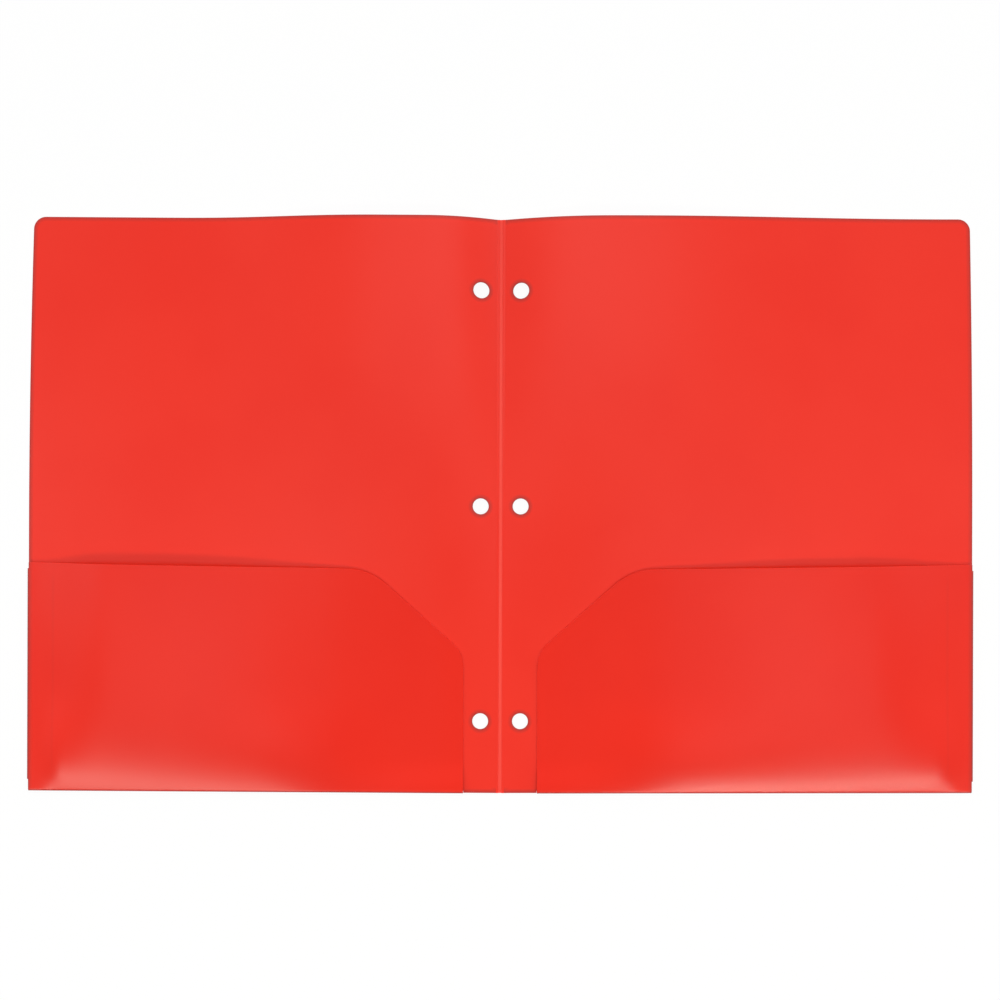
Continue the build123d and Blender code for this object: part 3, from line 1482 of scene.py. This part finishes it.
    def flat_sheet(self) -> Surface:
        """The right pocket's middle surface before its flap is crowned.

        Returns:
            The surface, with the painted shade along its edges, bottom fold and tab line, its creases and
            the way up the flap marked.
        """
        xs, mouth = self.columns(), self.mouth()
        top = np.interp(xs, mouth[1:, 0], mouth[1:, 1])
        near = np.array([0.0, *self.stock.near_edge, *self.lip_gaps])
        ends = [self.tab_low_y - self.crease_y, self.tab_high_y - self.crease_y]
        full = self.lip_outer_y - self.crease_y
        even = np.linspace(self.even_start, full - near[-1] - self.even_margin, self.even_rows)
        heights = np.unique(np.concatenate([self.swell_rows, ends, even, full - near])) / full
        arc = np.linspace(0, math.pi, self.fold_steps + 1)
        rows_y, rows_z, rows_up = [], [], []
        for turn in arc:
            rows_y.append(np.full_like(xs, self.crease_y - self.fold_radius * math.sin(turn)))
            lift = self.stock.thickness / 2 + self.fold_radius * (1 - math.cos(turn))
            rows_z.append(np.full_like(xs, lift))
            rows_up.append(np.full_like(xs, max(turn - math.pi / 2, 0) * self.fold_radius))
        top_z = self.stock.thickness / 2 + 2 * self.fold_radius
        quarter = self.fold_radius * math.pi / 2
        for share in heights:
            up = share * (top - self.crease_y)
            rows_y.append(self.crease_y + up)
            rows_z.append(top_z - self.settling(xs, up) * (top_z - self.rest_z))
            rows_up.append(up + quarter)
        grid = np.stack([np.tile(xs, (len(rows_y), 1)), np.array(rows_y), np.array(rows_z)], -1)
        return self.with_tab_fold(grid, np.array(rows_up), heights * full + self.crease_y, mouth)

    def settling(self, xs: np.ndarray, up: np.ndarray) -> np.ndarray:
        """How far the flap has come down to rest on the cover, near its inner edge.

        Args:
            xs: Distances of the points from the spine.
            up: How far up the flap they lie.

        Returns:
            A share from nought to one for each point.
        """
        near, far = self.rest_reach
        climb = share_between(up, 0.0, self.rest_climb)
        return smoothed(share_between(xs, far, near)) * smoothed(climb)

    def with_tab_fold(self, grid: np.ndarray, up: np.ndarray, outer_ys: np.ndarray,
                      mouth: np.ndarray) -> Surface:
        """Adds the fold that runs down the outer edge to the tab.

        Args:
            grid: Places of the flap's points, row by row.
            up: How far up the flap each of them lies.
            outer_ys: Places of the flap's rows at its outer edge, above the bottom fold.
            mouth: The flap's free edge.

        Returns:
            The whole middle surface.
        """
        rows, columns = grid.shape[:2]
        points = grid.reshape(-1, 3)
        faces = grid_faces(rows, columns)
        first_row = rows - len(outer_ys)
        low, high = self.tab_low_y - TOUCHING, self.tab_high_y + TOUCHING
        held = [n for n, y in enumerate(outer_ys) if low <= y <= high]
        last = np.array([(first_row + n) * columns + columns - 1 for n in held])
        strip, previous = [], last
        for turn in np.linspace(0, math.pi, self.tab_fold_steps + 1)[1:]:
            bent = points[last].copy()
            bent[:, 0] += self.tab_radius * math.sin(turn)
            bent[:, 2] -= self.tab_radius * (1 - math.cos(turn))
            here = len(points) + sum(map(len, strip)) + np.arange(len(last))
            faces += [(previous[n], here[n], here[n + 1], previous[n + 1]) for n in range(len(last) - 1)]
            strip.append(bent)
            previous = here
        whole = np.vstack([points, *strip])
        up_all = np.concatenate([up.ravel(), np.tile(up.reshape(-1)[last], len(strip))])
        return self.marked(whole, [tuple(int(p) for p in f) for f in faces], up_all, mouth)

    def marked(self, points: np.ndarray, faces: list[Face], up: np.ndarray, mouth: np.ndarray) -> Surface:
        """Marks the painted shade along the pocket's edges, bottom fold and tab line, and its creases.

        Args:
            points: Places of the pocket's points.
            faces: Its faces.
            up: How far up the flap each point lies.
            mouth: The flap's free edge.

        Returns:
            The whole middle surface.
        """
        free = divided(mouth, self.lip_step)
        # Painted shade along the lip, down the side fold, under the bottom fold and along the tab's edge.
        edge = self.stock.edge_mark(distance_to(points[:, :2], free)) * self.lip_mark
        side_fold_shade = self.stock.edge_mark(self.outer_x + self.side_margin - points[:, 0])
        fold = share_between(up, self.crease_reach, 0.0) ** 2
        below = share_between(self.crease_y - points[:, 1], *self.fold_line) * self.fold_mark
        beside = share_between(np.abs(points[:, 0] - self.tab_edge_x), self.tab_line, 0.0)
        from_end = np.minimum(points[:, 1] - self.tab_low_y, self.tab_high_y - points[:, 1])
        tab_edge = beside * share_between(from_end, 0.0, self.tab_taper) * self.tab_mark
        cut = np.maximum.reduce([edge, side_fold_shade, below, tab_edge])
        marks = {"cut_edge": cut, "crease": fold, "up_flap": up}
        lowest = points[:, 2] < self.stock.thickness / 2 + TOUCHING
        return Surface(points, faces, marks, lowest)

    def build(self, rules: Rules, finishes: Finishes) -> None:
        """Builds the pocket as one sheet, with its flap crowned off the cover.

        Args:
            rules: The shared Geometry Nodes rules.
            finishes: The folder's finishes.
        """
        sheet = self.stock.cut(self.flat_sheet(), self.side)
        word, sign = self.side.word, self.side.value
        flap = sheet.piece(f"{word}_pocket_sheet", finishes.pocket)
        sizes = {**self.crown.inputs(), **self.bow.inputs(), "Finish": finishes.pocket}
        shape_by_rule(flap, rules.flap, sizes)
        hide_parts(f"{word}_pocket", f"{word}_pocket_fold", f"{word}_tab_fold")
        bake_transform(flap)
        LOG.info("%s bends between %s and %s", flap.name, self.side.cover_body, self.side.pocket_body)


@dataclass
class TabAndWelds:
    """The tab behind a flap's outer edge, its spot welds, and the marks they leave outside.

    Attributes:
        side: Which half of the folder they are on.
        row_x: Distance from the spine to the row of welds.
        middle_y: Place of the row's middle.
        weld_pitch: Distance from weld to weld.
        weld_count: Number of welds.
        mark_radius: Radius of the ring that a weld leaves outside.
        mark_bead: Thickness of that ring.
    """

    side: Side
    row_x: float = 229.95
    middle_y: float = -85.25
    weld_pitch: float = 16.0
    weld_count: int = 5
    mark_radius: float = 2.1
    mark_bead: float = 0.07

    def build(self, rules: Rules, finishes: Finishes) -> None:
        """Dresses the tab and the welds, and builds the weld marks.

        Args:
            rules: The shared Geometry Nodes rules.
            finishes: The folder's finishes.
        """
        word = self.side.word
        for node, finish in ((f"{word}_tab", finishes.tab), (f"{word}_welds", finishes.weld)):
            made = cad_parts[node]
            made.data.materials.clear()
            made.data.materials.append(finish)
            LOG.info("%s keeps its shape", node)
        first_y = self.middle_y - self.weld_pitch * (self.weld_count - 1) / 2
        flat = CoverBow(bow_height=0.0, pull_in=0.0, swing_share=0.0)
        marks = ring_row(f"{word}_weld_marks", rules, {
            "Count": self.weld_count, "First": (self.side.value * self.row_x * MM, first_y * MM, 0.0),
            "Pitch": self.weld_pitch * MM, "Radius": self.mark_radius * MM, "Bead": self.mark_bead * MM,
            "Stretch": 1.0, "Finish": finishes.weld, **flat.inputs(),
        })
        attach(marks, self.side.cover_body)
        LOG.info("%s rides on %s", marks.name, self.side.cover_body)


# The studio


@dataclass(frozen=True)
class Lamp:
    """A soft lamp.

    Attributes:
        name: Name of the lamp.
        place: Where it stands, in metres.
        aim: The point that it faces, in metres.
        size: Its width and height, in metres.
        power: Its power in watts.
        colour: Colour of its light.
    """

    name: str
    place: tuple[float, float, float]
    aim: tuple[float, float, float]
    size: Span
    power: float
    colour: Colour = WHITE

    def build(self) -> None:
        """Adds the lamp to the scene."""
        data = bpy.data.lights.new(self.name, "AREA")
        data.shape = "RECTANGLE"
        data.size, data.size_y = self.size
        data.energy = self.power
        data.color = self.colour
        made = linked(self.name, data)
        made.location = self.place
        facing = Vector(self.aim) - Vector(self.place)
        made.rotation_euler = facing.to_track_quat("-Z", "Y").to_euler()


@dataclass
class Studio:
    """A pale floor, soft lamps and a camera that looks straight down.

    Attributes:
        camera_height: Height of the camera over the table.
        camera_foot: The place under it.
        view_width: Width of the table that it sees.
        roll_degrees: How far it is turned.
        sensor: Width of its sensor.
        floor_size: Width of the floor, in metres.
        floor_drop: How far the floor lies below the folder.
        floor_colour: Colour of the floor.
        floor_roughness: How dull it is.
        floor_glow: How white it shows.
        ring_light: Strength of the light that stands low all round.
        ring_heights: Heights in the sky between which it dies out.
        ring_lean: How much of it stands in front and beyond the head.
        ring_turn: Places in the sky between which that changes.
        zenith_light: Strength of the light overhead.
        mirrored_light: The most of the sky's light that the sheet mirrors.
        front_shade: How much darker the sky is just in front of the zenith.
        shade_spread: How the darker place widens towards the front.
        shade_width: Distances to its side between which it fades.
        shade_depth: Places in the sky between which it begins.
        lamps: The lamps.
    """

    camera_height: float = 440.0
    camera_foot: Span = (-0.35, 3.25)
    view_width: float = 502.9
    roll_degrees: float = 0.165
    sensor: float = 36.0
    floor_size: float = 30.0
    floor_drop: float = 0.12
    floor_colour: Colour = (0.93, 0.93, 0.93)
    floor_roughness: float = 0.9
    floor_glow: float = 0.94
    ring_light: float = 1.27
    ring_heights: Span = (0.45, 0.80)
    ring_lean: Span = (0.16, 1.84)
    ring_turn: Span = (-0.6, 0.6)
    zenith_light: float = 0.42
    mirrored_light: float = 0.75
    front_shade: float = 0.13
    shade_spread: float = 0.3
    shade_width: Span = (0.02, 0.10)
    shade_depth: Span = (-0.12, -0.01)
    lamps: tuple[Lamp, ...] = (
        Lamp("front_left", (-0.66, -0.96, 1.10), (-0.17, -0.1, 0.0), (0.74, 0.10), 2.9, WARM),
        Lamp("front_right", (0.60, -0.98, 1.10), (0.22, -0.1, 0.0), (0.88, 0.09), 4.2, WARM),
        Lamp("front_middle", (0.30, -0.96, 1.10), (0.30, -0.1, 0.0), (0.40, 0.11), 0.7, WARM),
        Lamp("overhead_panel", (0.065, 0.612, 1.2), (0.065, 0.612, 0.0), (0.714, 0.982), 1.3),
        Lamp("cross_panel", (0.0, 0.0, 1.2), (0.0, 0.0, 0.0), (1.7, 0.24), 0.18),
        Lamp("left_panel", (-1.13, 0.0, 1.2), (-0.4, 0.0, 0.0), (0.5, 0.5), 0.45),
        Lamp("right_panel", (1.13, 0.0, 1.2), (0.4, 0.0, 0.0), (0.5, 0.5), 0.25),
        Lamp("pocket_panel_left", (-0.50, -0.32, 1.2), (-0.50, -0.32, 0.0), (0.5, 0.44), 0.36),
        Lamp("pocket_panel_right", (0.50, -0.32, 1.2), (0.50, -0.32, 0.0), (0.5, 0.44), 0.40),
        Lamp("right_fill", (1.5, -0.1, 0.6), (0.1, 0.0, 0.0), (0.4, 0.4), 0.6),
    )

    def build(self) -> None:
        """Builds the studio."""
        bpy.context.scene.view_settings.view_transform = "Standard"
        self.build_floor()
        self.build_sky()
        for lamp in self.lamps:
            lamp.build()
        self.build_camera()

    def build_floor(self) -> None:
        """Lays the floor, which shows white and keeps the folder's shadow."""
        half, z = self.floor_size / 2, -self.floor_drop * MM
        corners = [(-half, -half, z), (half, -half, z), (half, half, z), (-half, half, z)]
        mesh = bpy.data.meshes.new("floor")
        mesh.from_pydata(corners, [], [(0, 1, 2, 3)])
        material = bpy.data.materials.new("pale_floor")
        material.use_nodes = True
        wire = Wiring(material.node_tree)
        shader = material.node_tree.nodes["Principled BSDF"]
        shader.inputs["Base Color"].default_value = rgba(self.floor_colour)
        shader.inputs["Roughness"].default_value = self.floor_roughness
        shader.inputs["Specular IOR Level"].default_value = 0.0
        rays = wire.add("ShaderNodeLightPath").outputs
        seen = wire.sum("MAXIMUM", rays["Is Camera Ray"], rays["Is Glossy Ray"])
        seen = wire.sum("MAXIMUM", seen, rays["Is Transmission Ray"])
        glow = wire.add("ShaderNodeEmission", {"Strength": 1.0})
        mixed = wire.add("ShaderNodeMixShader", {
            0: wire.product(seen, self.floor_glow), 1: shader.outputs[0], 2: glow.outputs[0],
        })
        wire.feed(material.node_tree.nodes["Material Output"].inputs["Surface"], mixed.outputs[0])
        mesh.materials.append(material)
        linked("floor", mesh)

    def build_sky(self) -> None:
        """Lights the room softly: brightest low down beyond the head, and calmer overhead."""
        world = bpy.data.worlds.new("studio")
        world.use_nodes = True
        wire = Wiring(world.node_tree)
        x, y, z = wire.axes(wire.add("ShaderNodeTexCoord").outputs["Generated"])
        around = wire.ramp(y, *self.ring_turn, *self.ring_lean)
        ring = wire.product(wire.ramp(z, *self.ring_heights, self.ring_light, 0.0), around)
        zenith = wire.ramp(z, *self.ring_heights, 0.0, self.zenith_light)
        light = wire.sum("ADD", ring, zenith)
        beside = wire.sum("MULTIPLY_ADD", y, self.shade_spread, wire.sum("ABSOLUTE", x))
        width = wire.ramp(beside, *self.shade_width, self.front_shade, 0.0)
        shade = wire.product(width, wire.ramp(y, *self.shade_depth, 1.0, 0.0))
        light = wire.sum("SUBTRACT", light, shade)
        excess = wire.sum("MAXIMUM", wire.sum("SUBTRACT", light, self.mirrored_light), 0.0)
        rays = wire.add("ShaderNodeLightPath").outputs
        light = wire.sum("SUBTRACT", light, wire.product(rays["Is Glossy Ray"], excess))
        seen = wire.sum("MAXIMUM", rays["Is Camera Ray"], rays["Is Transmission Ray"])
        shown = wire.sum("ADD", light, wire.product(seen, wire.sum("SUBTRACT", 1.0, light)))
        sky = world.node_tree.nodes["Background"]
        wire.feed(sky.inputs["Strength"], shown)
        sky.inputs["Color"].default_value = rgba(WHITE)
        bpy.context.scene.world = world

    def build_camera(self) -> None:
        """Hangs the camera over the folder."""
        data = bpy.data.cameras.new("camera")
        data.sensor_width = self.sensor
        data.lens = self.sensor * self.camera_height / self.view_width
        camera = linked("camera", data)
        camera.location = (*(c * MM for c in self.camera_foot), self.camera_height * MM)
        camera.rotation_euler = (0.0, 0.0, math.radians(self.roll_degrees))
        bpy.context.scene.camera = camera


def main() -> None:
    """Builds the studio, then the folder piece by piece."""
    logging.basicConfig(level=logging.INFO, format="%(message)s")
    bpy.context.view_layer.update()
    Studio().build()
    rules, finishes = Rules.build(), Finishes.build(Effects.build())
    bows = {
        Side.LEFT: CoverBow(bow_height=7.1, rise=(2.0, 38.7), fall=(53.4, 170.0), pull_in=2.3),
        Side.RIGHT: CoverBow(bow_height=7.14, rise=(2.0, 54.3), fall=(43.4, 246.4), pull_in=1.7),
    }
    crowns = {
        Side.LEFT: FlapCrown(
            crown_height=4.7, mouth_fall=(192.0, 236.0), low_rise=(45.0, 126.0), low_fall=(216.0, 237.0),
            knee_share=0.95, knee_length=25.0,
        ),
        Side.RIGHT: FlapCrown(
            crown_height=3.5, low_rise=(4.0, 118.0), low_fall=(214.0, 237.0),
            knee_share=1.12, knee_length=19.5,
        ),
    }
    SpineWeb().build(finishes)
    for side in Side:
        Cover(side, bows[side]).build(rules, finishes)
        PocketSheet(side, crowns[side], bows[side]).build(rules, finishes)
        TabAndWelds(side).build(rules, finishes)


if __name__ == "__main__":
    main()
